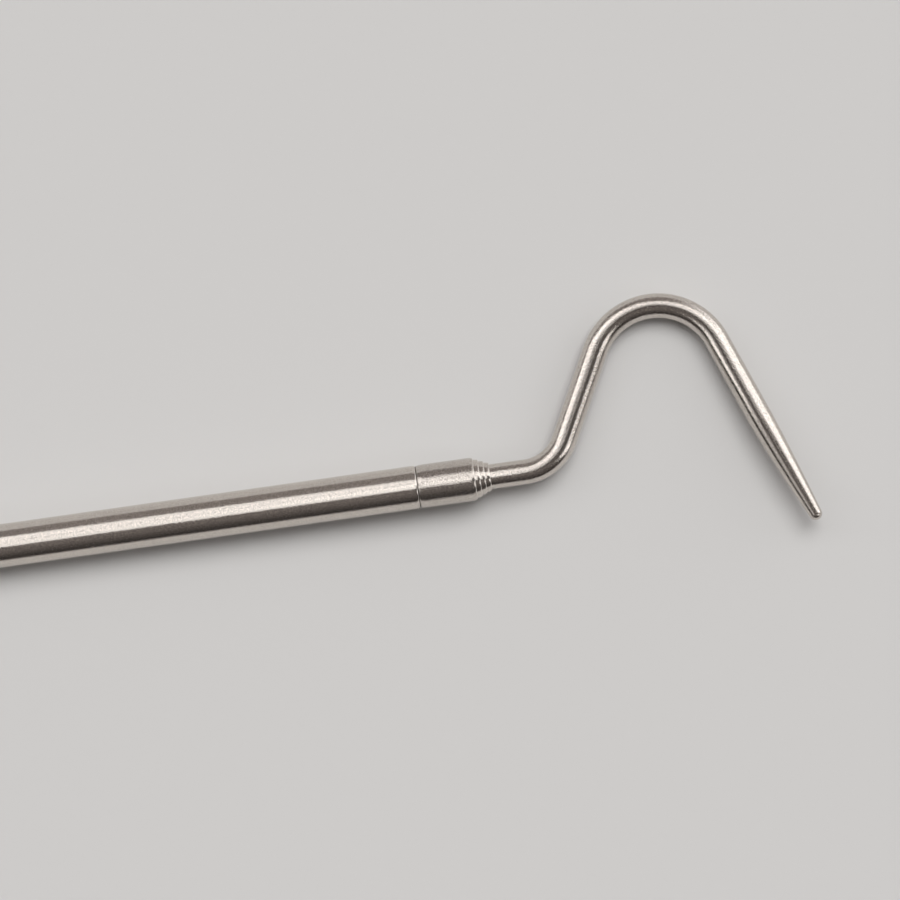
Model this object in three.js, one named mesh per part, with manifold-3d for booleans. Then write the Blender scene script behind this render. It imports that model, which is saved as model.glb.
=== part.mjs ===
// Telescopic snake hook, lying closed on a table, in millimetres with +Z up.
// +X runs along the handle from the back of its end plug to the hook, and the hook bows towards +Y.
import * as THREE from 'three';
import { mergeVertices } from 'three/addons/utils/BufferGeometryUtils.js';
import Module from 'manifold-3d';

const wasm = await Module();
wasm.setup();

// Section sizes, worked outwards from the solid rod.
const rodDiameter = 4;
const fourthWall = 0.25;
const thirdWall = 0.2;
const secondWall = 0.2;
const handleWall = 0.2;
const handleGap = 0.2;        // radial room between the second tube and the handle's bore
const sectionGap = 0.15;      // the same, between the other sections
const lipGap = 0.05;          // the same, where a mouth closes in on the next section
const lipLand = 0.1;          // flat left on the front of a rolled mouth
const mouthRoll = 0.85;       // length of a mouth's rolled edge
const exposedLength = 0.82;   // how much of each closed section shows past the last mouth

// Handle tube with its collar, end plug and pocket clip.
const handleLength = 136;     // from the plug's back face to the collar's mouth
const collarLength = 9.3;     // the part of the collar that shows
const collarShoulder = 1.2;   // length of the rounding at its back
const collarSpigot = 3;       // how far it reaches into the handle tube
const seamGap = 0.12;         // between the tube's rolled end and the collar
const seamLand = 0.04;        // edge left on either side of the seam
const plugFlange = 1.5;
const plugEdge = 0.45;        // rounding of the plug's back rim
const plugSpigot = 3.3;       // how far the plug reaches into the tube
const pressGap = 0.03;
const clipSheet = 0.5;
const clipWidth = 3.4;
const clipTipWidth = 2.4;
const clipArm = 27;           // the straight arm, between the root bend and the foot
const clipRise = 1.3;         // clear height under the arm at its root
const clipGrip = 0.3;         // clear height under the foot
const clipRootBend = 1;
const clipFootBend = 5;
const clipLift = 20;          // degrees that the tip turns up
const clipTip = 2.2;

// Tail bushes and friction springs.
const flangeLength = 0.5;
const flangeGap = 0.08;
const springLength = 3.5;
const springSheet = 0.2;
const springPlay = 0.05;      // between a spring and the bore it rubs on, or its neck's shoulders
const neckPlay = 0.1;         // between a spring and the neck under it
const springArc = 150;        // degrees that one half spring covers
const bushSpigot = 2;
const bushBore = 2;
const tailGap = 0.3;          // between one section's tail and what lies behind it

// Hook, bent in one plane from the straight rod.
const shankLength = 8.14;     // straight rod between the handle's mouth and the first bend
const riserBend = 7.8;        // bend radii are those of the rod's centreline
const riserTurn = 62.9;       // degrees
const riserLength = 15.17;
const bowBend = 10.75;
const bowTurn = 131.95;
const legLength = 33.1;       // from the bow to the tip, taper included
const taperLength = 19;
const taperCurve = 1.4;       // 1 is a straight taper, more starts it softly
const tipDiameter = 2.1;
const tipOffset = 0.25;       // the taper is ground more on the inside of the hook

const tubeSides = 32;
const rodSides = 24;
const edgeSteps = 4;          // facets along a rounded edge
const bendStep = 5;           // degrees between rings round a bend
const tipRings = [25, 50, 70, 83];   // degrees round the hook's blunt tip
const degrees = Math.PI / 180;
const boreFactor = 1 / Math.cos(Math.PI / tubeSides);   // draws a faceted bore round its true circle

const steel = { color: 0xb4aea6, roughness: 0.32, metalness: 1 };
const steelDark = { color: 0x9d978f, roughness: 0.4, metalness: 1 };
const brass = { color: 0xb08d4c, roughness: 0.4, metalness: 1 };
const bronze = { color: 0xa86f3f, roughness: 0.35, metalness: 1 };

// Radii of every section, from the rod outwards.
const rodRadius = rodDiameter / 2;
const tipRadius = tipDiameter / 2;
const aroundSection = (innerRadius, wall, gap = sectionGap) => {
  const bore = innerRadius + gap;
  return { radius: bore + wall, bore, lip: innerRadius + lipGap };
};
const fourth = aroundSection(rodRadius, fourthWall);
const third = aroundSection(fourth.radius, thirdWall);
const second = aroundSection(third.radius, secondWall);
const handle = aroundSection(second.radius, handleWall, handleGap);

// Places along the handle.
const tubeStart = plugFlange + clipSheet;
const seam = handleLength - collarLength;
const neckLength = springLength + 2 * springPlay;
const tailLength = flangeLength + neckLength + bushSpigot;
const secondTail = tubeStart + plugSpigot + tailGap;
const thirdTail = secondTail + tailLength + tailGap;
const fourthTail = thirdTail + tailLength + tailGap;
const rodTail = fourthTail + tailLength + tailGap;

const part = new THREE.Group();

function addPiece(name, geometry, material, x = 0) {
  const mesh = new THREE.Mesh(geometry, new THREE.MeshStandardMaterial(material));
  mesh.name = name;
  mesh.position.x = x;
  part.add(mesh);
  return mesh;
}

// Turns a profile of [x, radius] points about the X axis.
function turned(profile) {
  const points = profile.map(([x, radius]) => new THREE.Vector2(radius, x));
  return new THREE.LatheGeometry(points, tubeSides).rotateZ(-Math.PI / 2);
}

// Quarter round from the full radius at x = start down to the radius `end` at start + length.
function roundedEdge(start, length, radius, end) {
  return Array.from({ length: edgeSteps + 1 }, (_, i) => {
    const angle = (i / edgeSteps) * Math.PI / 2;
    return [start + length * Math.sin(angle), end + (radius - end) * Math.cos(angle)];
  });
}

// Tube from x = 0 to its mouth, which is rolled in to a lip round the next section.
function sectionTube(size, length) {
  const rollStart = length - mouthRoll;
  return turned([
    [0, size.bore * boreFactor],
    [0, size.radius],
    ...roundedEdge(rollStart, mouthRoll, size.radius, size.lip + lipLand),
    [length, size.lip * boreFactor],
    [rollStart + mouthRoll / 2, size.lip * boreFactor],
    [rollStart, size.bore * boreFactor],
    [0, size.bore * boreFactor],
  ]);
}

// Walks along straight runs and bends, and returns a station at the end of every short step.
function bentPath(start, heading, legs) {
  const stations = [{ x: start.x, y: start.y, heading, travel: 0 }];
  const advance = (run, turn) => {
    const last = stations[stations.length - 1];
    const chord = turn === 0 ? run : run * Math.sin(turn / 2) / (turn / 2);
    const middle = last.heading + turn / 2;
    stations.push({
      x: last.x + chord * Math.cos(middle),
      y: last.y + chord * Math.sin(middle),
      heading: last.heading + turn,
      travel: last.travel + run,
    });
  };
  for (const { run, turn = 0, radius, steps } of legs) {
    const angle = turn * degrees;
    const count = steps ?? Math.max(1, Math.ceil(Math.abs(turn) / bendStep));
    for (let i = 0; i < count; i += 1) advance((run ?? Math.abs(angle) * radius) / count, angle / count);
  }
  return stations;
}

// Skin over round sections of changing radius, set square to a path in the XY plane.
function roundBar(stations, sides) {
  const positions = [];
  const faces = [];
  for (const { x, y, heading, radius, offset = 0 } of stations) {
    for (let i = 0; i < sides; i += 1) {
      const angle = (i / sides) * 2 * Math.PI;
      const across = offset + radius * Math.cos(angle);
      const up = radius * Math.sin(angle);
      positions.push(x - across * Math.sin(heading), y + across * Math.cos(heading), up);
    }
  }
  for (let ring = 0; ring + 1 < stations.length; ring += 1) {
    for (let i = 0; i < sides; i += 1) {
      const a = ring * sides + i;
      const b = ring * sides + (i + 1) % sides;
      faces.push(a, b, b + sides, a, b + sides, a + sides);
    }
  }
  for (let i = 1; i + 1 < sides; i += 1) {
    const last = positions.length / 3 - sides;
    faces.push(0, i + 1, i, last, last + i, last + i + 1);
  }
  const geometry = new THREE.BufferGeometry();
  geometry.setAttribute('position', new THREE.Float32BufferAttribute(positions, 3));
  geometry.setIndex(faces);
  return geometry;
}

function toSolid(geometry) {
  const bare = geometry.clone();
  bare.deleteAttribute('normal');
  bare.deleteAttribute('uv');
  const merged = mergeVertices(bare, 1e-4);
  return new wasm.Manifold(new wasm.Mesh({
    numProp: 3,
    vertProperties: new Float32Array(merged.attributes.position.array),
    triVerts: new Uint32Array(merged.index.array),
  }));
}

function fromSolid(solid) {
  const mesh = solid.getMesh();
  const geometry = new THREE.BufferGeometry();
  geometry.setAttribute('position', new THREE.BufferAttribute(new Float32Array(mesh.vertProperties), 3));
  geometry.setIndex(new THREE.BufferAttribute(new Uint32Array(mesh.triVerts), 1));
  return geometry;
}

// Handle tube from x = 0 to its front end, which is rolled down against the collar's spigot.
function handleTube() {
  const length = seam - seamGap / 2 - tubeStart;
  const bore = handle.bore * boreFactor;
  return turned([
    [0, bore],
    [0, handle.radius],
    ...roundedEdge(length - mouthRoll, mouthRoll, handle.radius, bore + seamLand),
    [length, bore],
    [0, bore],
  ]);
}

// Collar in the handle's mouth. The back end of its spigot stops the second section's springs.
function handleCollar() {
  const spigot = handle.bore - pressGap;
  const bore = handle.lip * boreFactor;
  const shoulder = collarSpigot + seamGap;
  const mouth = collarSpigot + seamGap / 2 + collarLength;
  const back = roundedEdge(-shoulder - collarShoulder, collarShoulder, handle.radius, spigot + seamLand)
    .map(([x, radius]) => [-x, radius])
    .reverse();
  return turned([
    [0, bore],
    [0, spigot],
    [shoulder, spigot],
    ...back,
    ...roundedEdge(mouth - mouthRoll, mouthRoll, handle.radius, handle.lip + lipLand),
    [mouth, bore],
    [0, bore],
  ]);
}

// Plug with a rounded back rim. Its spigot passes through the clip's ring into the tube.
function endPlug() {
  const rim = roundedEdge(-plugEdge, plugEdge, handle.radius, handle.radius - plugEdge)
    .map(([x, radius]) => [-x, radius])
    .reverse();
  const spigot = handle.bore - pressGap;
  return turned([
    [0, 0],
    ...rim,
    [plugFlange, handle.radius],
    [plugFlange, spigot],
    [tubeStart + plugSpigot, spigot],
    [tubeStart + plugSpigot, 0],
  ]);
}

// Bent strip with a washer at its root, from one sheet.
function pocketClip() {
  const slope = Math.asin((clipRise - clipGrip) / clipArm) / degrees;
  const armHeight = handle.radius + clipRise + clipSheet / 2;
  const root = Math.sqrt(handle.radius ** 2 - (clipWidth / 2) ** 2) - handleWall / 2;
  const path = bentPath({ x: clipSheet / 2, y: root }, 90 * degrees, [
    { run: armHeight - clipRootBend * Math.cos(slope * degrees) - root },
    { turn: -90 - slope, radius: clipRootBend },
    { run: clipArm },
    { turn: slope + clipLift, radius: clipFootBend },
    { run: clipTip },
  ]);
  const edge = (side) => path.map(({ x, y, heading }) => new THREE.Vector2(
    x - side * clipSheet / 2 * Math.sin(heading),
    y + side * clipSheet / 2 * Math.cos(heading),
  ));
  const side = new THREE.Shape([...edge(-1), ...edge(1).reverse()]);
  const strip = new THREE.ExtrudeGeometry(side, { depth: clipWidth, bevelEnabled: false })
    .translate(0, 0, -clipWidth / 2)
    .rotateX(Math.PI / 2);
  const tip = clipTipWidth / 2;
  const tipCentre = path[path.length - 1].x - tip;
  const plan = new THREE.Shape();
  plan.moveTo(0, -clipWidth / 2);
  plan.lineTo(tipCentre, -tip);
  plan.absarc(tipCentre, 0, tip, -Math.PI / 2, Math.PI / 2, false);
  plan.lineTo(0, clipWidth / 2);
  const trim = new THREE.ExtrudeGeometry(plan, {
    depth: 2 * armHeight,
    bevelEnabled: false,
    curveSegments: 8,
  });
  const disc = turned([[0, 0], [0, handle.radius], [clipSheet, handle.radius], [clipSheet, 0]]);
  const hole = (handle.bore + pressGap) * boreFactor;
  const through = [-clipSheet, 2 * clipSheet];
  const spigotRoom = turned([[through[0], 0], [through[0], hole], [through[1], hole], [through[1], 0]]);
  const blank = toSolid(strip).intersect(toSolid(trim)).add(toSolid(disc));
  return fromSolid(blank.subtract(toSolid(spigotRoom)));
}

// Radius of the neck that a pair of springs sits on, inside the given bore.
const neckRadius = (bore) => bore - springPlay - springSheet - neckPlay;

// Bush with a back flange, a neck for the springs and a spigot pressed into its tube.
function tailBush(tube, around) {
  const neckEnd = flangeLength + neckLength;
  return turned([
    [0, bushBore / 2],
    [0, around.bore - flangeGap],
    [flangeLength, around.bore - flangeGap],
    [flangeLength, neckRadius(around.bore)],
    [neckEnd, neckRadius(around.bore)],
    [neckEnd, tube.bore - pressGap],
    [tailLength, tube.bore - pressGap],
    [tailLength, bushBore / 2],
    [0, bushBore / 2],
  ]);
}

// One half of a friction spring, curved round the X axis and centred on +Y or -Y.
function halfSpring(bore, side) {
  const outer = bore - springPlay;
  const inner = outer - springSheet;
  const middle = side > 0 ? 0 : Math.PI;
  const half = springArc / 2 * degrees;
  const shape = new THREE.Shape();
  shape.absarc(0, 0, outer, middle - half, middle + half, false);
  shape.absarc(0, 0, inner, middle + half, middle - half, true);
  return new THREE.ExtrudeGeometry(shape, { depth: springLength, bevelEnabled: false, curveSegments: 6 })
    .rotateX(Math.PI / 2)
    .rotateZ(Math.PI / 2);
}

function addSprings(name, bore, tail) {
  const x = tail + flangeLength + springPlay;
  addPiece(`${name}_spring_left`, halfSpring(bore, 1), bronze, x);
  addPiece(`${name}_spring_right`, halfSpring(bore, -1), bronze, x);
}

// Adds one inner tube with its bush and springs. `order` counts the sections out from the handle.
function addSection(name, size, around, tail, order) {
  const start = tail + flangeLength + neckLength + springPlay;
  const mouth = handleLength + order * exposedLength;
  addPiece(`${name}_tube`, sectionTube(size, mouth - start), steel, start);
  addPiece(`${name}_bush`, tailBush(size, around), brass, tail);
  addSprings(name, around.bore, tail);
}

// Solid rod from its tail neck to the hook's tip. x = 0 is the tail's end.
function hookRod() {
  const straight = handleLength + shankLength - rodTail;
  const neck = neckRadius(fourth.bore);
  const neckEnd = flangeLength + neckLength;
  const tail = [
    { x: 0, radius: rodRadius },
    { x: flangeLength, radius: rodRadius },
    { x: flangeLength, radius: neck },
    { x: neckEnd, radius: neck },
    { x: neckEnd, radius: rodRadius },
  ].map((station) => ({ ...station, y: 0, heading: 0 }));
  const bent = bentPath({ x: straight, y: 0 }, 0, [
    { turn: riserTurn, radius: riserBend },
    { run: riserLength },
    { turn: -bowTurn, radius: bowBend },
    { run: legLength - taperLength },
    { run: taperLength - tipRadius, steps: 6 },
  ]);
  const end = bent[bent.length - 1];
  const shaped = bent.map((station) => {
    const along = Math.max(0, 1 - (end.travel - station.travel) / (taperLength - tipRadius));
    const share = along ** taperCurve;
    return { ...station, radius: rodRadius + (tipRadius - rodRadius) * share, offset: tipOffset * share };
  });
  const cap = tipRings.map((angle) => {
    const ahead = tipRadius * Math.sin(angle * degrees);
    return {
      x: end.x + ahead * Math.cos(end.heading),
      y: end.y + ahead * Math.sin(end.heading),
      heading: end.heading,
      radius: tipRadius * Math.cos(angle * degrees),
      offset: tipOffset,
    };
  });
  return roundBar([...tail, ...shaped, ...cap], rodSides);
}

// The thinner hook lies on the same table as the handle, so its bow drops by the difference in radius.
function hookLean() {
  const bow = riserBend * (1 - Math.cos(riserTurn * degrees))
    + riserLength * Math.sin(riserTurn * degrees)
    + bowBend * (1 - Math.cos(riserTurn * degrees));
  return Math.asin((handle.radius - rodRadius) / bow);
}

addPiece('handle_tube', handleTube(), steel, tubeStart);
addPiece('handle_collar', handleCollar(), steel, seam - seamGap / 2 - collarSpigot);
addPiece('end_plug', endPlug(), steelDark);
addPiece('pocket_clip', pocketClip(), steel, plugFlange);
addSection('second', second, handle, secondTail, 1);
addSection('third', third, second, thirdTail, 2);
addSection('fourth', fourth, third, fourthTail, 3);
addPiece('hook_rod', hookRod(), steel, rodTail).rotation.x = -hookLean();
addSprings('rod', fourth.bore, rodTail);

export default part;
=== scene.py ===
import math

import bmesh
import bpy
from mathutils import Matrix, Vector


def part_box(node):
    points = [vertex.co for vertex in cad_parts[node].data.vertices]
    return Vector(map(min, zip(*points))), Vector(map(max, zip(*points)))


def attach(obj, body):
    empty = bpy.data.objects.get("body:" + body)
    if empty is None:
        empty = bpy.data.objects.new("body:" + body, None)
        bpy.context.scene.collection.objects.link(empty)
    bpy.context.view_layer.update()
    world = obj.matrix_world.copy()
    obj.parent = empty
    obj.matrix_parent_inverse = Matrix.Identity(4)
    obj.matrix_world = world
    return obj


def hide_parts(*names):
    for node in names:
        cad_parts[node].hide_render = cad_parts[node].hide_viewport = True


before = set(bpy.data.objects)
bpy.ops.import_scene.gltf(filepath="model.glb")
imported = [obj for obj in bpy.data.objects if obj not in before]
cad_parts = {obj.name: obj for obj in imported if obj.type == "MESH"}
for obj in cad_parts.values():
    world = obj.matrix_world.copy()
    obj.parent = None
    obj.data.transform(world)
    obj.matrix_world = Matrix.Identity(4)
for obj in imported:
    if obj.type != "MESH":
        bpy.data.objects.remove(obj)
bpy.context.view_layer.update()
mm = 0.001  # the sizes below are in millimetres, Blender's in metres


# A node's output that sums can be written with: each operator adds one Math node.
class Wire:
    def __init__(self, tree, socket):
        self.tree = tree
        self.socket = socket

    def output(self, name):
        return Wire(self.tree, self.socket.node.outputs[name])

    def __add__(self, other):
        return self.tree.math("ADD", self, other)

    def __radd__(self, other):
        return self.tree.math("ADD", other, self)

    def __sub__(self, other):
        return self.tree.math("SUBTRACT", self, other)

    def __rsub__(self, other):
        return self.tree.math("SUBTRACT", other, self)

    def __mul__(self, other):
        return self.tree.math("MULTIPLY", self, other)

    def __rmul__(self, other):
        return self.tree.math("MULTIPLY", other, self)

    def __truediv__(self, other):
        return self.tree.math("DIVIDE", self, other)

    def __rtruediv__(self, other):
        return self.tree.math("DIVIDE", other, self)

    def __pow__(self, other):
        return self.tree.math("POWER", self, other)


class Tree:
    def __init__(self, nodeTree):
        self.nodeTree = nodeTree
        nodeTree.nodes.clear()

    # Makes any node. Its settings come first, then each input gets a value or a link.
    def add(self, kind, values=None, out=0, **settings):
        node = self.nodeTree.nodes.new(kind)
        for name, setting in settings.items():
            setattr(node, name, setting)
        for name, value in (values or {}).items():
            socket = node.inputs[name]
            if isinstance(value, Wire):
                self.nodeTree.links.new(value.socket, socket)
            else:
                socket.default_value = value
        return Wire(self, node.outputs[out] if len(node.outputs) else None)

    def math(self, operation, *values):
        return self.add("ShaderNodeMath", dict(enumerate(values)), operation=operation)

    def vector(self, operation, *values):
        return self.add("ShaderNodeVectorMath", dict(enumerate(values)), operation=operation)

    def limit(self, value):
        return self.add("ShaderNodeClamp", {"Value": value})

    def noise(self, place, scale, detail=2.0, roughness=0.5):
        sizes = {"Vector": place, "Scale": scale, "Detail": detail, "Roughness": roughness}
        return self.add("ShaderNodeTexNoise", sizes)

    # 0 below `low` and 1 above `high`, with a soft change between
    def rise(self, value, low, high):
        ends = {"Value": value, "From Min": low, "From Max": high}
        return self.add("ShaderNodeMapRange", ends, interpolation_type="SMOOTHSTEP")

    def blend(self, share, a, b):
        return self.add("ShaderNodeMix", {0: share, 6: a, 7: b}, out=2, data_type="RGBA")


# What all the metals share. Lengths are in millimetres.
metalBase = {
    "grainSize": 0.22,        # mottling left by polishing
    "grainHeight": 0.011,
    "grainRoughness": 0.10,
    "grainTint": 0.23,        # how much lighter and darker it makes the colour
    "grainContrast": 1.6,
    "streakWidth": 0.16,      # fine scratches along the polishing direction
    "streakLength": 9.0,
    "streakHeight": 0.0006,
    "streakRoughness": 0.08,
    "streakContrast": 0.5,
    "patchSize": 9.0,         # slow change where hands have dulled it
    "patchRoughness": 0.06,
    "pitSpacing": 1.6,        # rare small dark pits
    "pitRadius": 0.07,
    "pitCore": 0.3,           # share of the radius that is at full depth
    "pitShare": 0.10,         # how many of the places for a pit have one
    "pitDepth": 0.004,
    "pitTint": 0.7,
    "pitRoughness": 0.2,
    "wearSheenTint": 0.8,          # edges rubbed bright, partly a painted highlight
    "wearRoughness": 0.22,
    "creaseShadeTint": 0.85,         # painted shade darkening the seam and the necks
    "creaseRoughness": 0.2,
    "turned": False,          # True: the streaks run round the axis, as a lathe leaves them
    "bent": False,            # True: the pattern follows the bent rod
}


def metal(name, look):
    look = metalBase | look
    material = bpy.data.materials.new(name)
    material.use_nodes = True
    tree = Tree(material.node_tree)
    if look["bent"]:
        place = tree.add("ShaderNodeAttribute", attribute_name="straight", out="Vector")
    else:
        place = tree.add("ShaderNodeTexCoord", out="Object")
        place = tree.vector("MULTIPLY", place, (1 / mm,) * 3)
    if look["turned"]:
        across = tree.add("ShaderNodeSeparateXYZ", {0: place})
        radius = (across.output("Y") ** 2 + across.output("Z") ** 2) ** 0.5
        marks = tree.add("ShaderNodeCombineXYZ", {"X": across.output("X"), "Y": radius})
    else:
        marks = tree.vector("MULTIPLY", place, (look["streakWidth"] / look["streakLength"], 1, 1))

    grain = tree.noise(place, 1 / look["grainSize"], detail=1, roughness=0.6)
    streak = tree.noise(marks, 1 / look["streakWidth"], roughness=0.6)
    patch = tree.noise(place, 1 / look["patchSize"])
    cells = tree.add("ShaderNodeTexVoronoi", {"Vector": place, "Scale": 1 / look["pitSpacing"]})
    chance = tree.add("ShaderNodeSeparateColor", {0: cells.output("Color")})
    pitEnd = look["pitRadius"] / look["pitSpacing"]
    near = 1 - tree.rise(cells, look["pitCore"] * pitEnd, pitEnd)
    pit = near * tree.math("LESS_THAN", chance, look["pitShare"])
    # Rubbed edges, lighter in colour: partly real wear, partly a painted highlight that draws the lips'
    # bright lines.
    wearSheenMask = tree.add("ShaderNodeAttribute", attribute_name="wearSheenMask", out="Fac")
    # Painted shade: darker and rougher in the seam's crease and in the bushes' necks.
    creaseShade = tree.add("ShaderNodeAttribute", attribute_name="creaseShade", out="Fac")

    mottle = 0.5 + (grain - 0.5) * look["grainContrast"] + (streak - 0.5) * look["streakContrast"]
    darker = [part * (1 - look["grainTint"]) for part in look["colour"]]
    lighter = [min(1, part * (1 + look["grainTint"])) for part in look["colour"]]
    tint = tree.blend(tree.limit(mottle), darker + [1], lighter + [1])
    tint = tree.blend(wearSheenMask * look["wearSheenTint"], tint, look["wearSheen"] + [1])
    # The painted shade in the creases and the real dark pits both darken towards the look's dark colour.
    shadeAndPits = tree.limit(creaseShade * look["creaseShadeTint"] + pit * look["pitTint"])
    tint = tree.blend(shadeAndPits, tint, look["creaseShade"] + [1])

    roughness = look["roughness"] + (grain - 0.5) * look["grainRoughness"]
    roughness = roughness + (streak - 0.5) * look["streakRoughness"]
    roughness = roughness + (patch - 0.5) * look["patchRoughness"]
    roughness = roughness + wearSheenMask * look["wearRoughness"]
    roughness = roughness + creaseShade * look["creaseRoughness"] + pit * look["pitRoughness"]

    height = grain * look["grainHeight"] + streak * look["streakHeight"] - pit * look["pitDepth"]
    bump = tree.add("ShaderNodeBump", {"Strength": 1.0, "Distance": mm, "Height": height})

    surface = tree.add("ShaderNodeBsdfPrincipled", {
        "Base Color": tint,
        "Metallic": 1.0,
        "Roughness": tree.limit(roughness),
        "Normal": bump,
    })
    tree.add("ShaderNodeOutputMaterial", {"Surface": surface})
    return material


steelLook = {
    "colour": [0.655, 0.605, 0.555],
    # lighter colour of rubbed edges, partly a painted highlight
    "wearSheen": [0.86, 0.83, 0.79],
    # dark colour of the painted shade in creases, also taken by the pits
    "creaseShade": [0.10, 0.085, 0.07],
    "roughness": 0.16,
}

# In every look the worn colour is partly a painted highlight on rubbed edges, and the dark colour is
# painted shade in creases, also taken by the pits.
finishes = {
    "handle_steel": metal("handleSteel", steelLook),
    "collar_steel": metal("collarSteel", steelLook | {
        "colour": [0.60, 0.555, 0.51], "roughness": 0.2, "grainHeight": 0.018,
        "grainTint": 0.29, "pitShare": 0.25}),
    "section_steel": metal("sectionSteel", steelLook | {"roughness": 0.17}),
    "rod_steel": metal("rodSteel", steelLook | {
        "roughness": 0.13, "grainHeight": 0.028, "grainTint": 0.33, "bent": True}),
    "plug_steel": metal("plugSteel", steelLook | {
        "colour": [0.58, 0.56, 0.53], "roughness": 0.25, "turned": True,
        "streakWidth": 0.12, "streakHeight": 0.0016, "streakRoughness": 0.16}),
    "clip_steel": metal("clipSteel", steelLook | {"roughness": 0.23, "streakHeight": 0.0009}),
    "bush_brass": metal("bushBrass", {
        "colour": [0.70, 0.53, 0.26], "wearSheen": [0.86, 0.70, 0.40], "creaseShade": [0.13, 0.08, 0.03],
        "roughness": 0.26, "turned": True, "streakWidth": 0.14, "streakHeight": 0.0016}),
    "spring_bronze": metal("springBronze", {
        "colour": [0.66, 0.42, 0.24], "wearSheen": [0.84, 0.60, 0.40], "creaseShade": [0.12, 0.06, 0.03],
        "roughness": 0.28}),
}
print("metals made")


def nodeBox(node):
    low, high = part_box(node)
    return low / mm, high / mm


def newPiece(name, data):
    piece = bpy.data.objects.new(name, data)
    bpy.context.scene.collection.objects.link(piece)
    return piece


def finish(piece, body, slotName, *nodes):
    if not piece.data.materials:
        piece.data.materials.append(finishes[slotName])
    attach(piece, body)
    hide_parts(*nodes)
    print(f"{piece.name}: {len(piece.data.polygons)} faces, on {body}")


def smooth(mesh, sharpest=35):
    mesh.shade_smooth()
    mesh.set_sharp_from_angle(angle=math.radians(sharpest))


def meshOf(name, shape):
    bmesh.ops.recalc_face_normals(shape, faces=shape.faces)
    mesh = bpy.data.meshes.new(name)
    shape.to_mesh(mesh)
    shape.free()
    return mesh


# Each item with the one after it, and the last with the first where they close a loop
def pairs(items, closed):
    return list(zip(items, items[1:] + items[:1] if closed else items[1:]))


# Walks straights and bends in a plane and keeps an (x, y, heading) station at each step.
class Walk:
    def __init__(self, x, y, heading=0.0):
        self.stations = [(x, y, heading)]

    def go(self, length, turn=0.0, steps=1):
        part = math.radians(turn) / steps
        chord = length / steps
        if part:
            chord = chord * math.sin(part / 2) / (part / 2)
        for _ in range(steps):
            x, y, heading = self.stations[-1]
            middle = heading + part / 2
            x = x + chord * math.cos(middle)
            y = y + chord * math.sin(middle)
            self.stations.append((x, y, heading + part))

    def run(self, length, step):
        self.go(length, steps=math.ceil(length / step))

    def bend(self, turn, radius, steps):
        self.go(math.radians(abs(turn)) * radius, turn, steps)

    # Steps that get shorter towards a round end
    def roundOff(self, radius, steps):
        along = [radius * math.sin(math.radians(90 * i / steps)) for i in range(steps + 1)]
        for a, b in pairs(along, closed=False):
            self.go(b - a)


# Turned shapes. A profile is a list of corners, each an (x, radius, rounding, mark).
# The mark is 1 for an edge rubbed bright, which is partly a painted highlight, and less than 0 for painted
# shade in a crease.
turning = {
    "sides": 128,
    "roundSteps": 6,
    "rollSteps": 14,
    "rollWearSheen": 0.6,       # how far along a rolled edge its wear and painted highlight start
    "support": 0.05,       # rings this far from each corner keep the flats' shading flat
    "supportWearSheen": 0.7,
    "fade": 0.25,          # and rings this far off end an edge's wear, painted highlight and painted shade
    "roomy": 4,            # a stretch gets them if it is this many times as long
    "longest": 6.0,        # longest stretch between rings
}


def softened(corners):
    rings = []
    count = len(corners)
    for i, (x, radius, rounding, wearSheen) in enumerate(corners):
        here = Vector((x, radius))
        if rounding == 0:
            rings.append((here, wearSheen))
            continue
        before = Vector(corners[i - 1][:2])
        after = Vector(corners[(i + 1) % count][:2])
        start = here + (before - here).normalized() * rounding
        end = here + (after - here).normalized() * rounding
        for step in range(turning["roundSteps"] + 1):
            t = step / turning["roundSteps"]
            point = (1 - t) ** 2 * start + 2 * t * (1 - t) * here + t ** 2 * end
            rings.append((point, wearSheen * math.sin(math.pi * t)))
    return rings


def supported(rings, closed):
    near = turning["support"]
    fade = turning["fade"]
    share = turning["supportWearSheen"]
    dense = []
    for (a, wearSheenA), (b, wearSheenB) in pairs(rings, closed):
        length = (b - a).length
        dense.append((a, wearSheenA))
        if length > turning["roomy"] * near:
            dense.append((a.lerp(b, near / length), share * wearSheenA))
        if length > turning["roomy"] * fade:
            dense.append((a.lerp(b, fade / length), 0))
            count = math.ceil(length / turning["longest"])
            dense += [(a.lerp(b, step / count), 0) for step in range(1, count)]
            dense.append((b.lerp(a, fade / length), 0))
        if length > turning["roomy"] * near:
            dense.append((b.lerp(a, near / length), share * wearSheenB))
    if not closed:
        dense.append(rings[-1])
    return dense


# Quarter round of a rolled edge, from the full radius at x down to `end` at x + length
def rolled(x, length, radius, end, wearSheen):
    corners = []
    start = turning["rollWearSheen"]
    for i in range(turning["rollSteps"] + 1):
        share = i / turning["rollSteps"]
        angle = share * math.pi / 2
        along = x + length * math.sin(angle)
        out = end + (radius - end) * math.cos(angle)
        corners.append((along, out, 0, wearSheen * max(0, share - start) / (1 - start)))
    return corners


# The same rounding where it faces the tail: x, like the list, runs the other way.
def mirrored(corners):
    return [(-x, radius, rounding, wearSheen) for x, radius, rounding, wearSheen in reversed(corners)]


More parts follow.
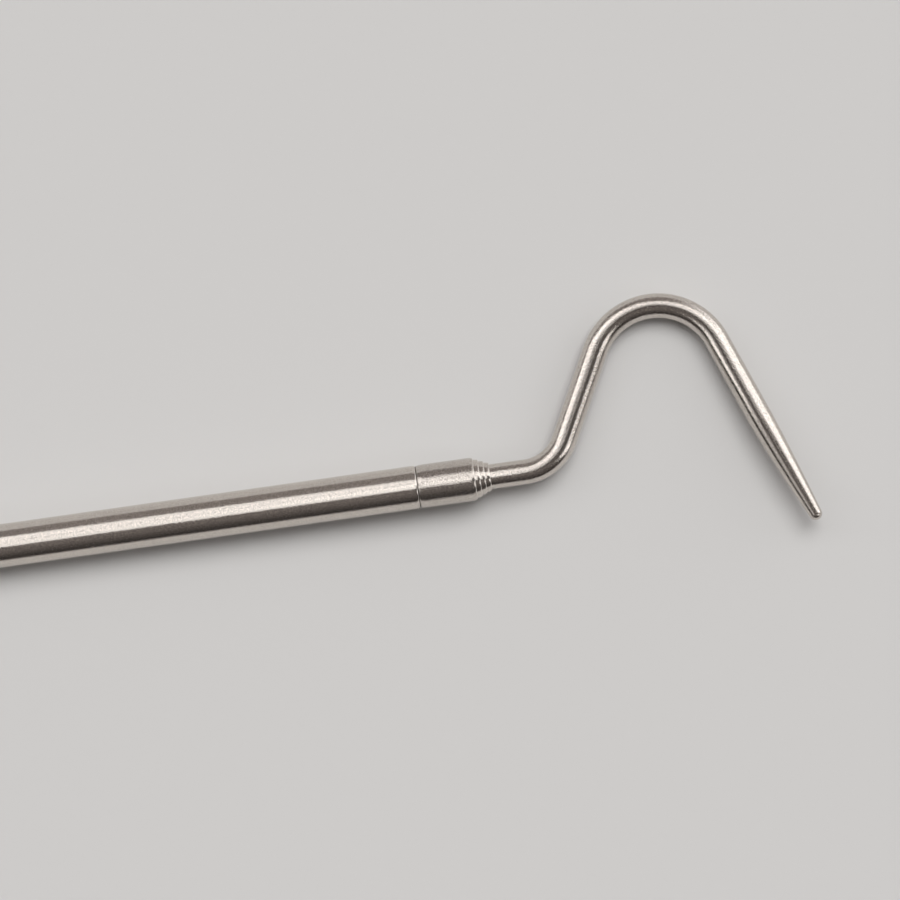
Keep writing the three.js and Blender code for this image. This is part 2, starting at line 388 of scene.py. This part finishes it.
def turned(name, corners, closed=True):
    sides = turning["sides"]
    shape = bmesh.new()
    # Each ring carries wear with a painted highlight on edges, and painted shade in creases.
    wearSheenMask = shape.verts.layers.float.new("wearSheenMask")
    creaseShade = shape.verts.layers.float.new("creaseShade")
    loops = []
    for (x, radius), wearSheen in supported(softened(corners), closed):
        loop = []
        for i in range(sides if radius > 0 else 1):
            angle = 2 * math.pi * i / sides
            vert = shape.verts.new((x * mm, radius * math.cos(angle) * mm, radius * math.sin(angle) * mm))
            vert[wearSheenMask] = max(0, wearSheen)
            vert[creaseShade] = max(0, -wearSheen)
            loop.append(vert)
        loops.append(loop)
    for a, b in pairs(loops, closed):
        for i in range(sides):
            j = (i + 1) % sides
            corner = [a[i % len(a)], a[j % len(a)], b[j % len(b)], b[i % len(b)]]
            shape.faces.new(list(dict.fromkeys(corner)))
    mesh = meshOf(name, shape)
    smooth(mesh)
    return newPiece(name, mesh)


# The telescoping tubes and the collar
tubes = {
    "wall": {"handle": 0.2, "second": 0.2, "third": 0.2, "fourth": 0.25},
    "lipGap": 0.05,          # between a mouth and the section inside it
    "lipLand": 0.1,          # flat left on the front of a mouth
    "mouthRoll": 0.85,       # length of a rolled edge
    "edge": 0.03,            # rounding of the cut edges
    "seamLand": 0.04,        # edge left on either side of the seam
    "seamGap": 0.12,
    "collarShoulder": 1.2,   # length of the rounding at the collar's back
    "collarSpigot": 3.0,     # how far the collar reaches into the handle tube
    "pressGap": 0.03,        # round whatever is pressed into a tube
}

rodRadius = 2.0
bodies = {"second": "second_section", "third": "third_section", "fourth": "fourth_section"}


def outerRadius(section):
    return rodRadius if section == "rod" else nodeBox(f"{section}_tube")[1].y


def sectionTube(section, inner):
    low, high = nodeBox(f"{section}_tube")
    edge = tubes["edge"]
    radius = high.y
    bore = radius - tubes["wall"][section]
    lip = outerRadius(inner) + tubes["lipGap"]
    land = lip + tubes["lipLand"]
    rollStart = high.x - tubes["mouthRoll"]
    roll = rolled(rollStart, tubes["mouthRoll"], radius, land, 1)
    tube = turned(f"{section}Tube", [
        (low.x, bore, edge, 0),
        (low.x, radius, edge, 1),
        *roll[:-1],
        (high.x, land, edge, 1),
        (high.x, lip, edge, 0.5),
        (rollStart + tubes["mouthRoll"] / 2, lip, edge, 0),
        (rollStart, bore, edge, 0),
    ])
    finish(tube, bodies[section], "section_steel", f"{section}_tube")


def handleTube():
    low, high = nodeBox("handle_tube")
    edge = tubes["edge"]
    bore = high.y - tubes["wall"]["handle"]
    roll = rolled(high.x - tubes["mouthRoll"], tubes["mouthRoll"], high.y, bore + tubes["seamLand"], 1)
    tube = turned("handleTube", [
        (low.x, bore, edge, 0),
        (low.x, high.y, edge, 1),
        *roll,
        # The bore's corner at the seam gets painted shade.
        (high.x, bore, 0, -0.5),
    ])
    finish(tube, "handle", "handle_steel", "handle_tube")


def handleCollar():
    low, high = nodeBox("handle_collar")
    edge = tubes["edge"]
    radius = high.y
    spigot = radius - tubes["wall"]["handle"] - tubes["pressGap"]
    lip = outerRadius("second") + tubes["lipGap"]
    land = lip + tubes["lipLand"]
    shoulder = low.x + tubes["collarSpigot"] + tubes["seamGap"]
    # The collar's back rounding gets painted shade towards the seam.
    back = rolled(-shoulder - tubes["collarShoulder"], tubes["collarShoulder"], radius,
                  spigot + tubes["seamLand"], -0.6)
    roll = rolled(high.x - tubes["mouthRoll"], tubes["mouthRoll"], radius, land, 1)
    collar = turned("handleCollar", [
        (low.x, lip, edge, 0),
        (low.x, spigot, edge, 0),
        # Painted shade in the seam's gap.
        (shoulder - tubes["seamGap"], spigot, 0, -1),
        (shoulder, spigot, 0, -1),
        *mirrored(back),
        *roll[:-1],
        (high.x, land, edge, 1),
        (high.x, lip, edge, 0.5),
    ])
    finish(collar, "handle", "collar_steel", "handle_collar")


handleTube()
handleCollar()
for section, inner in (("second", "third"), ("third", "fourth"), ("fourth", "rod")):
    sectionTube(section, inner)
print("tubes made")


plug = {"rimRound": 0.45, "flange": 1.5, "spigotEdge": 0.15}


def endPlug():
    low, high = nodeBox("end_plug")
    spigot = high.y - tubes["wall"]["handle"] - tubes["pressGap"]
    rim = rolled(-plug["rimRound"], plug["rimRound"], high.y, high.y - plug["rimRound"], 0.5)
    piece = turned("endPlug", [
        (low.x, 0, 0, 0),
        *mirrored(rim),
        (plug["flange"], high.y, tubes["edge"], 1),
        (plug["flange"], spigot, 0, 0),
        (high.x, spigot, plug["spigotEdge"], 0.5),
        (high.x, 0, 0, 0),
    ], closed=False)
    finish(piece, "handle", "plug_steel", "end_plug")


endPlug()
print("plug made")


# The tail bushes. Each has a flange, a neck that its springs ride on and a spigot in its tube.
bushes = {
    "flange": 0.5,
    "neck": 3.6,
    "neckDepth": 0.27,     # below the flange
    "neckRound": 0.03,
    "bore": 2.0,
    "edge": 0.08,
}


def tailBush(section):
    low, high = nodeBox(f"{section}_bush")
    neck = high.y - bushes["neckDepth"]
    spigot = outerRadius(section) - tubes["wall"][section] - tubes["pressGap"]
    flangeEnd = low.x + bushes["flange"]
    neckEnd = flangeEnd + bushes["neck"]
    bore = bushes["bore"] / 2
    edge = bushes["edge"]
    bush = turned(f"{section}Bush", [
        (low.x, bore, edge, 0.4),
        (low.x, high.y, edge, 1),
        (flangeEnd, high.y, edge, 1),
        # Painted shade in the neck under the springs.
        (flangeEnd, neck, bushes["neckRound"], -0.6),
        (neckEnd, neck, bushes["neckRound"], -0.6),
        (neckEnd, spigot, edge, 1),
        (high.x, spigot, edge, 1),
        (high.x, bore, edge, 0.4),
    ])
    finish(bush, bodies[section], "bush_brass", f"{section}_bush")


for section in bodies:
    tailBush(section)
print("bushes made")


def newGeometryTree(name, inputs):
    group = bpy.data.node_groups.new(name, "GeometryNodeTree")
    group.interface.new_socket("Geometry", in_out="INPUT", socket_type="NodeSocketGeometry")
    for label, kind in inputs:
        group.interface.new_socket(label, in_out="INPUT", socket_type=f"NodeSocket{kind}")
    group.interface.new_socket("Geometry", in_out="OUTPUT", socket_type="NodeSocketGeometry")
    tree = Tree(group)
    return tree, tree.add("NodeGroupInput")


# Runs a tree on a piece's data and returns a plain mesh piece of the result.
def grown(name, data, tree, values):
    source = newPiece(name + "Source", data)
    modifier = source.modifiers.new("shape", "NODES")
    modifier.node_group = tree.nodeTree
    for item in tree.nodeTree.interface.items_tree:
        if item.item_type == "SOCKET" and item.name in values:
            modifier[item.identifier] = values[item.name]
    bpy.context.view_layer.update()
    evaluated = source.evaluated_get(bpy.context.evaluated_depsgraph_get())
    mesh = bpy.data.meshes.new_from_object(evaluated)
    mesh.name = name
    bpy.data.objects.remove(source)
    smooth(mesh)
    return newPiece(name, mesh)


# The friction springs: pairs of bowed half rings
springs = {
    "sheet": 0.2,
    "arc": 150.0,          # degrees that one half covers
    "bow": 0.07,           # how far its ends dip below its middle
    "alongSteps": 16,
    "aroundSteps": 24,
}


def springTree():
    tree, given = newGeometryTree("springPair", [
        ("Outer Radius", "Float"), ("Length", "Float"), ("Start", "Float"), ("Sheet", "Float"),
        ("Arc", "Float"), ("Bow", "Float"), ("Along Steps", "Int"), ("Around Steps", "Int"),
        ("Finish", "Material")])
    blank = tree.add("GeometryNodeMeshCube", {
        "Size": (1, 1, 1),
        "Vertices X": given.output("Along Steps"),
        "Vertices Y": 2,
        "Vertices Z": given.output("Around Steps")})
    place = tree.add("ShaderNodeSeparateXYZ", {0: tree.add("GeometryNodeInputPosition")})
    along = place.output("X")
    angle = place.output("Z") * given.output("Arc")
    dip = given.output("Bow") * (2 * along) ** 2
    radius = given.output("Outer Radius") - given.output("Sheet") * (0.5 - place.output("Y")) - dip
    bent = tree.add("ShaderNodeCombineXYZ", {
        "X": given.output("Start") + (along + 0.5) * given.output("Length"),
        "Y": radius * tree.math("COSINE", angle),
        "Z": radius * tree.math("SINE", angle)})
    half = tree.add("GeometryNodeSetPosition", {"Geometry": blank, "Position": bent})
    both = tree.add("GeometryNodeMeshLine", {"Count": 2, "Offset": (0, 0, 0)})
    order = tree.add("GeometryNodeInputIndex")
    turn = tree.add("ShaderNodeCombineXYZ", {"X": order * math.pi})
    pair = tree.add("GeometryNodeInstanceOnPoints", {"Points": both, "Instance": half, "Rotation": turn})
    pair = tree.add("GeometryNodeRealizeInstances", {"Geometry": pair})
    pair = tree.add("GeometryNodeSetMaterial", {"Geometry": pair, "Material": given.output("Finish")})
    tree.add("NodeGroupOutput", {"Geometry": pair})
    return tree


springPair = springTree()


def frictionSprings(section):
    low, high = nodeBox(f"{section}_spring_left")
    piece = grown(f"{section}Springs", bpy.data.meshes.new("blank"), springPair, {
        "Outer Radius": high.y * mm,
        "Length": (high.x - low.x) * mm,
        "Start": low.x * mm,
        "Sheet": springs["sheet"] * mm,
        "Arc": math.radians(springs["arc"]),
        "Bow": springs["bow"] * mm,
        "Along Steps": springs["alongSteps"],
        "Around Steps": springs["aroundSteps"],
        "Finish": finishes["spring_bronze"],
    })
    finish(piece, f"{section}_springs", "spring_bronze",
           f"{section}_spring_left", f"{section}_spring_right")


for section in (*bodies, "rod"):
    frictionSprings(section)
print("springs made")


# The hook rod. Lengths and bend radii are those of its middle line.
hook = {
    "shank": 8.14,           # straight rod between the handle's mouth and the first bend
    "riserBend": 7.8,
    "riserTurn": 62.9,       # degrees
    "riser": 15.17,
    "bowBend": 10.75,
    "bowTurn": 131.95,
    "leg": 33.1,             # from the bow to the tip, taper included
    "taper": 19.0,
    "taperCurve": 1.4,       # 1 is a straight taper, more starts it softly
    "tipRadius": 1.05,
    "tipLeast": 0.02,        # share of the radius left at the very end
    "tipOffset": 0.25,       # how far the taper's middle moves towards the hook's outside
    "flange": 0.5,
    "neck": 3.6,
    "neckRadius": 1.8,
    "neckStep": 0.02,        # length in which the radius changes at the neck's ends
    "tailRound": 0.2,
    "tailSteps": 3,
    "bendStep": 2.0,         # degrees between rings round a bend
    "shankStep": 6.0,        # and the same along the straights, in millimetres
    "riserStep": 1.5,
    "taperStep": 0.5,
    "tipSteps": 12,
    "sides": 64,
}


# Stations down the middle of the bent rod, closer together where its radius changes
def rodPath():
    start = nodeBox("hook_rod")[0].x
    mouth = nodeBox("handle_collar")[1].x
    half = hook["neckStep"] / 2
    neckEnd = hook["flange"] + hook["neck"]
    turns = [90 * i / hook["tailSteps"] for i in range(hook["tailSteps"] + 1)]
    tail = [hook["tailRound"] * (1 - math.cos(math.radians(turn))) for turn in turns]
    tail += [hook["flange"] - half, hook["flange"] + half, neckEnd - half, neckEnd + half]
    walk = Walk(start, 0)
    for a, b in pairs(tail, closed=False):
        walk.go(b - a)
    walk.run(mouth + hook["shank"] - start - tail[-1], hook["shankStep"])
    walk.bend(hook["riserTurn"], hook["riserBend"], math.ceil(hook["riserTurn"] / hook["bendStep"]))
    walk.run(hook["riser"], hook["riserStep"])
    walk.bend(-hook["bowTurn"], hook["bowBend"], math.ceil(hook["bowTurn"] / hook["bendStep"]))
    walk.run(hook["leg"] - hook["taper"], hook["riserStep"])
    walk.run(hook["taper"] - hook["tipRadius"], hook["taperStep"])
    walk.roundOff(hook["tipRadius"], hook["tipSteps"])
    return walk.stations


def rodTree():
    tree, given = newGeometryTree("taperedRod", [
        ("Radius", "Float"), ("Tip Radius", "Float"), ("Taper", "Float"), ("Taper Curve", "Float"),
        ("Tip Offset", "Float"), ("Flange", "Float"), ("Neck End", "Float"), ("Neck Radius", "Float"),
        ("Tail Round", "Float"), ("Lean", "Float"), ("Sides", "Int"), ("Finish", "Material")])
    along = tree.add("GeometryNodeSplineParameter", out="Length")
    toEnd = tree.add("GeometryNodeSplineLength", out="Length") - along
    full = given.output("Radius")
    tip = given.output("Tip Radius")
    share = 1 - tree.limit((toEnd - tip) / (given.output("Taper") - tip))
    share = share ** given.output("Taper Curve")
    dome = (1 - (1 - tree.limit(toEnd / tip)) ** 2) ** 0.5
    edge = given.output("Tail Round")
    tail = edge * (1 - (1 - (1 - tree.limit(along / edge)) ** 2) ** 0.5)
    pastFlange = tree.math("GREATER_THAN", along, given.output("Flange"))
    inNeck = pastFlange * tree.math("LESS_THAN", along, given.output("Neck End"))
    radius = (full + (tip - full) * share) * tree.math("MAXIMUM", dome, hook["tipLeast"])
    radius = radius - tail - inNeck * (full - given.output("Neck Radius"))

    # The taper is ground more on the inside of the hook, so its middle moves outwards.
    left = tree.vector("CROSS_PRODUCT", (0, 0, 1), tree.add("GeometryNodeInputTangent"))
    moved = {0: left, "Scale": share * given.output("Tip Offset")}
    moved = tree.add("ShaderNodeVectorMath", moved, operation="SCALE")

    def store(geometry, name, value, kind):
        return tree.add("GeometryNodeStoreNamedAttribute", {
            "Geometry": geometry, "Name": name, "Value": value}, data_type=kind, domain="POINT")

    def named(name, kind):
        return tree.add("GeometryNodeInputNamedAttribute", {"Name": name}, data_type=kind)

    path = store(given, "travel", along, "FLOAT")
    path = store(path, "thickness", radius, "FLOAT")
    path = tree.add("GeometryNodeSetPosition", {"Geometry": path, "Offset": moved})
    ring = {"Resolution": given.output("Sides"), "Radius": 1.0}
    ring = tree.add("GeometryNodeCurvePrimitiveCircle", ring)
    ring = store(ring, "ring", tree.add("GeometryNodeInputPosition"), "FLOAT_VECTOR")
    bar = tree.add("GeometryNodeCurveToMesh", {
        "Curve": path,
        "Profile Curve": ring,
        "Scale": named("thickness", "FLOAT"),
        "Fill Caps": True})

    # The place that each point would have on a straight rod, for the metal's pattern
    around = tree.add("ShaderNodeSeparateXYZ", {0: named("ring", "FLOAT_VECTOR")})
    straight = tree.add("ShaderNodeCombineXYZ", {
        "X": named("travel", "FLOAT") / mm,
        "Y": around.output("X") * full / mm,
        "Z": around.output("Y") * full / mm})
    bar = store(bar, "straight", straight, "FLOAT_VECTOR")
    for name in ("travel", "thickness", "ring"):
        bar = tree.add("GeometryNodeRemoveAttribute", {"Geometry": bar, "Name": name})
    lean = tree.add("ShaderNodeCombineXYZ", {"X": given.output("Lean")})
    bar = tree.add("GeometryNodeTransform", {"Geometry": bar, "Rotation": lean})
    bar = tree.add("GeometryNodeRealizeInstances", {"Geometry": bar})
    bar = tree.add("GeometryNodeSetMaterial", {"Geometry": bar, "Material": given.output("Finish")})
    tree.add("NodeGroupOutput", {"Geometry": bar})
    return tree


def hookRod():
    stations = rodPath()
    curve = bpy.data.curves.new("rodPath", "CURVE")
    curve.dimensions = "3D"
    spline = curve.splines.new("POLY")
    spline.points.add(len(stations) - 1)
    for point, (x, y, heading) in zip(spline.points, stations):
        point.co = (x * mm, y * mm, 0, 1)

    # The hook leans until its bow lies on the floor beside the thicker handle.
    bow = max(y for x, y, heading in stations)
    lean = math.asin((nodeBox("handle_tube")[1].y - rodRadius) / bow)
    rod = grown("hookRod", curve, rodTree(), {
        "Radius": rodRadius * mm,
        "Tip Radius": hook["tipRadius"] * mm,
        "Taper": hook["taper"] * mm,
        "Taper Curve": hook["taperCurve"],
        "Tip Offset": hook["tipOffset"] * mm,
        "Flange": hook["flange"] * mm,
        "Neck End": (hook["flange"] + hook["neck"]) * mm,
        "Neck Radius": hook["neckRadius"] * mm,
        "Tail Round": hook["tailRound"] * mm,
        "Lean": -lean,
        "Sides": hook["sides"],
        "Finish": finishes["rod_steel"],
    })
    finish(rod, "hook", "rod_steel", "hook_rod")


hookRod()
print("hook made")


# The pocket clip: a bent strip that rises from a ring round the plug's spigot
clip = {
    "sheet": 0.5,
    "width": 3.4,
    "tipWidth": 2.4,
    "arm": 27.0,             # the straight arm, between the root bend and the foot
    "rise": 1.3,             # clear height under the arm at its root
    "grip": 0.3,             # clear height under the foot
    "rootBend": 1.0,
    "footBend": 5.0,
    "lift": 20.0,            # degrees that the tip turns up
    "tip": 2.2,
    "edge": 0.12,            # rounding of the strip's edges
    "edgeShare": 0.45,       # but at most this share of its width or thickness
    "edgeWearSheen": 0.8,
    "endWidth": 0.1,         # width left where its round end closes
    "endSheet": 0.6,         # and share of its thickness
    "ringEdge": 0.08,
    "room": (-1.0, 2.0),     # ends of the room cut for the spigot, from the ring's back
    "riseSteps": 4,
    "bendSteps": 14,
    "armSteps": 24,
    "tipSteps": 3,
    "roundSteps": 10,
    "edgeSteps": 4,
}


# Stations down the middle of the strip, in the plane of x and height
def clipPath():
    low = nodeBox("pocket_clip")[0]
    radius = nodeBox("handle_tube")[1].y
    slope = math.degrees(math.asin((clip["rise"] - clip["grip"]) / clip["arm"]))
    armHeight = radius + clip["rise"] + clip["sheet"] / 2
    root = math.sqrt(radius ** 2 - (clip["width"] / 2) ** 2) - tubes["wall"]["handle"] / 2
    walk = Walk(low.x + clip["sheet"] / 2, root, math.pi / 2)
    walk.go(armHeight - clip["rootBend"] * math.cos(math.radians(slope)) - root, steps=clip["riseSteps"])
    walk.bend(-90 - slope, clip["rootBend"], clip["bendSteps"])
    walk.go(clip["arm"], steps=clip["armSteps"])
    walk.bend(slope + clip["lift"], clip["footBend"], clip["bendSteps"])
    walk.go(clip["tip"] - clip["tipWidth"] / 2, steps=clip["tipSteps"])
    walk.roundOff(clip["tipWidth"] / 2, clip["roundSteps"])
    return walk.stations


# Section of the strip, a rectangle with rounded corners, as (across, through) points
def stripSection(width, sheet, edge):
    section = []
    for corner in range(4):
        across = (width / 2 - edge) * (1 if corner in (0, 3) else -1)
        through = (sheet / 2 - edge) * (1 if corner < 2 else -1)
        for i in range(clip["edgeSteps"] + 1):
            angle = math.radians(90 * (corner + i / clip["edgeSteps"]))
            section.append((across + edge * math.cos(angle), through + edge * math.sin(angle)))
    return section


def clipStrip():
    stations = clipPath()
    start = stations[0][0]
    tipStart = stations[-1][0] - clip["tipWidth"] / 2 * math.cos(math.radians(clip["lift"]))
    last = len(stations) - 1
    roundStart = last - clip["roundSteps"]
    shape = bmesh.new()
    wearSheenMask = shape.verts.layers.float.new("wearSheenMask")
    loops = []
    for i, (x, z, heading) in enumerate(stations):
        share = min(1, max(0, (x - start) / (tipStart - start)))
        width = clip["width"] + (clip["tipWidth"] - clip["width"]) * share
        sheet = clip["sheet"] * (clip["endSheet"] if i == last else 1)
        if i >= roundStart:
            turn = math.radians(90 * (i - roundStart) / clip["roundSteps"])
            width = max(clip["endWidth"], width * math.cos(turn))
        edge = min(clip["edge"], clip["edgeShare"] * width, clip["edgeShare"] * sheet)
        loop = []
        for across, through in stripSection(width, sheet, edge):
            vert = shape.verts.new((
                (x - through * math.sin(heading)) * mm,
                across * mm,
                (z + through * math.cos(heading)) * mm))
            # The strip's side edges get wear and a painted highlight.
            vert[wearSheenMask] = clip["edgeWearSheen"] if abs(across) > width / 2 - edge else 0.0
            loop.append(vert)
        loops.append(loop)
    for a, b in pairs(loops, closed=False):
        for i in range(len(a)):
            j = (i + 1) % len(a)
            shape.faces.new((a[i], a[j], b[j], b[i]))
    shape.faces.new(loops[0])
    shape.faces.new(loops[-1])
    return newPiece("clipStrip", meshOf("clipStrip", shape))


def pocketClip():
    low = nodeBox("pocket_clip")[0]
    radius = nodeBox("handle_tube")[1].y
    hole = radius - tubes["wall"]["handle"] + tubes["pressGap"]
    edge = clip["ringEdge"]
    strip = clipStrip()
    ring = turned("clipRing", [
        (low.x, hole, edge, 0),
        (low.x, radius, edge, 1),
        (low.x + clip["sheet"], radius, edge, 1),
        (low.x + clip["sheet"], hole, edge, 0),
    ])
    start, end = [low.x + past for past in clip["room"]]
    room = turned("spigotRoom", [
        (start, 0, 0, 0), (start, hole, 0, 0), (end, hole, 0, 0), (end, 0, 0, 0)], closed=False)
    for operation, other in (("UNION", ring), ("DIFFERENCE", room)):
        modifier = strip.modifiers.new(operation, "BOOLEAN")
        modifier.operation = operation
        modifier.solver = "EXACT"
        modifier.object = other
    evaluated = strip.evaluated_get(bpy.context.evaluated_depsgraph_get())
    joined = bpy.data.meshes.new_from_object(evaluated)
    joined.name = "pocketClip"
    for spare in (strip, ring, room):
        bpy.data.objects.remove(spare)
    smooth(joined)
    piece = newPiece("pocketClip", joined)
    finish(piece, "handle", "clip_steel", "pocket_clip")


pocketClip()
print("clip made")


camera = {
    "centre": (132.65, 5.17),   # the row's point in the middle of the picture
    "roll": 8.05,               # degrees that the picture is turned against the tubes
    "width": 144.5,             # what the picture spans at the tubes' axis
    "lens": 250.0,
    "sensor": 36.0,
    "sees": (0.01, 20.0),       # from and to, in metres
}


def makeCamera():
    lens = bpy.data.cameras.new("camera")
    lens.lens = camera["lens"]
    lens.sensor_width = camera["sensor"]
    lens.clip_start, lens.clip_end = camera["sees"]
    holder = newPiece("camera", lens)
    distance = camera["width"] * camera["lens"] / camera["sensor"]
    holder.location = Vector((*camera["centre"], distance)) * mm
    holder.rotation_euler = (0, 0, -math.radians(camera["roll"]))
    bpy.context.scene.camera = holder


makeCamera()

floor = {
    "colour": (0.60, 0.595, 0.585, 1),
    "size": 6.0,                # in metres
    "roughness": 0.8,
    "shine": 0.2,
}


def makeFloor():
    mesh = bpy.data.meshes.new("floor")
    half = floor["size"] / 2
    height = nodeBox("handle_tube")[0].z * mm
    corners = [(-half, -half), (half, -half), (half, half), (-half, half)]
    mesh.from_pydata([(x, y, height) for x, y in corners], [], [(0, 1, 2, 3)])
    material = bpy.data.materials.new("floor")
    material.use_nodes = True
    tree = Tree(material.node_tree)
    surface = tree.add("ShaderNodeBsdfPrincipled", {
        "Base Color": floor["colour"],
        "Roughness": floor["roughness"],
        "Specular IOR Level": floor["shine"]})
    tree.add("ShaderNodeOutputMaterial", {"Surface": surface})
    mesh.materials.append(material)
    newPiece("floor", mesh)


makeFloor()

# A narrow lamp over the handle and the shank, in the row's millimetres. Only the metal shows it.
handleLamp = {"centre": (73.0, 2.8, 40.0), "size": (146.0, 15.6), "glow": 1.15}

# Daylight for the floor, which the metal doesn't mirror. Angles are in degrees.
daylight = {"energy": 1.63, "angle": 40, "tilt": (-25, 15, 0)}


def makeLamps():
    light = bpy.data.lights.new("handleLamp", "AREA")
    light.shape = "RECTANGLE"
    light.size, light.size_y = [side * mm for side in handleLamp["size"]]
    light.energy = handleLamp["glow"] * light.size * light.size_y * math.pi
    lamp = newPiece("handleLamp", light)
    lamp.location = Vector(handleLamp["centre"]) * mm
    lamp.visible_camera = False
    lamp.visible_diffuse = False

    light = bpy.data.lights.new("daylight", "SUN")
    light.energy = daylight["energy"]
    light.angle = math.radians(daylight["angle"])
    lamp = newPiece("daylight", light)
    lamp.rotation_euler = [math.radians(turn) for turn in daylight["tilt"]]
    lamp.visible_glossy = False


makeLamps()

# A room with soft light panels over the tool. A direction is given by its slopes from straight up,
# towards the picture's right and towards its top. A pair of slopes is where a soft change starts and ends.
panels = {
    "key": {"low": (-3.4, 0.0), "high": (3.4, 1.1), "soft": 0.06, "glow": 1.66},
    "lowRight": {"low": (0.78, -0.32), "high": (3.3, 0.2), "soft": 0.12, "glow": 1.75},
    "lowLeft": {"low": (-1.7, -0.8), "high": (-0.42, -0.06), "soft": 0.12, "glow": 0.62},
}
room = {
    "edge": 0.27,               # the key's lower edge on the left
    "edgeRise": 0.03,           # and how much higher it is on the right
    "edgeChange": (0.0, 0.5),
    "dip": 0.03,                # how low the edge dips near the middle
    "dipMiddle": 0.04,
    "dipSides": (0.01, 0.06),
    "sides": (0.0, 0.6),        # from the key's middle to its sides
    "sag": 0.2,                 # how much lower its top is in the middle
    "middle": 0.74,             # share of its glow there
    "lean": 0.33,               # how much the lower right panel slants
    "overhead": 0.07,           # the dim room between the panels
    "nearer": 0.11,             # what that gains towards the picture's bottom
    "nearerChange": (0.0, 0.4),
    "low": 0.025,               # and what is left of it near the floor
    "behind": 0.25,             # past the picture's top, on its left
    "right": 1.8,               # and on its right
    "rightChange": (0.1, 1.0),  # of the direction itself, not of its slope
    "behindChange": (0.2, 1.0),
    "wall": 0.6,                # pale wall standing round the floor
    "wallTop": (0.04, 0.2),     # heights of the direction between which it ends
    "steepest": 0.03,           # least height that slopes are measured with
    "dimTint": (1.06, 0.955, 0.915, 1),
    "brightTint": (1.0, 0.985, 0.985, 1),
    "tintChange": (0.1, 0.7),   # of the light's level
}


def makeWorld():
    world = bpy.data.worlds.new("studio")
    world.use_nodes = True
    tree = Tree(world.node_tree)

    def maximum(a, b):
        return tree.math("MAXIMUM", a, b)

    def within(value, low, high, soft):
        return tree.rise(value, low - soft, low + soft) * (1 - tree.rise(value, high - soft, high + soft))

    def glow(name, across, bottom, top):
        panel = panels[name]
        (left, low), (far, high), soft = panel["low"], panel["high"], panel["soft"]
        inside = within(across, left, far, soft) * tree.rise(bottom, low - soft, low + soft)
        return inside * (1 - tree.rise(top, high - soft, high + soft)) * panel["glow"]

    toward = tree.add("ShaderNodeTexCoord", out="Generated")
    turn = {"Vector": toward, "Angle": math.radians(camera["roll"])}
    toward = tree.add("ShaderNodeVectorRotate", turn, rotation_type="Z_AXIS")
    split = tree.add("ShaderNodeSeparateXYZ", {0: toward})
    height = maximum(split.output("Z"), room["steepest"])
    right = split.output("X") / height
    up = split.output("Y") / height

    edge = room["edge"] + room["edgeRise"] * tree.rise(right, *room["edgeChange"])
    fromDip = tree.math("ABSOLUTE", right - room["dipMiddle"])
    edge = room["dip"] + (edge - room["dip"]) * tree.rise(fromDip, *room["dipSides"])
    sides = tree.rise(tree.math("ABSOLUTE", right), *room["sides"])
    middle = room["middle"] + (1 - room["middle"]) * sides
    top = up + (1 - sides) * room["sag"]
    slanted = up + right * room["lean"]

    nearer = room["overhead"] + room["nearer"] * tree.rise(0 - up, *room["nearerChange"])
    dim = split.output("Z") ** 2 * nearer + room["low"]
    gain = room["right"] - room["behind"]
    behind = room["behind"] + gain * tree.rise(split.output("X"), *room["rightChange"])
    light = dim + (behind - dim) * tree.rise(up, *room["behindChange"])
    light = maximum(light, room["wall"] * (1 - tree.rise(split.output("Z"), *room["wallTop"])))
    light = maximum(light, glow("key", right, up - edge, top) * middle)
    light = maximum(light, glow("lowRight", right, slanted, slanted))
    light = maximum(light, glow("lowLeft", right, up, up))
    tint = tree.blend(tree.rise(light, *room["tintChange"]), room["dimTint"], room["brightTint"])
    glowing = tree.add("ShaderNodeBackground", {"Color": tint, "Strength": light})
    tree.add("ShaderNodeOutputWorld", {"Surface": glowing})
    bpy.context.scene.world = world


makeWorld()
bpy.context.scene.view_settings.view_transform = "Standard"
print("camera, floor and light made")
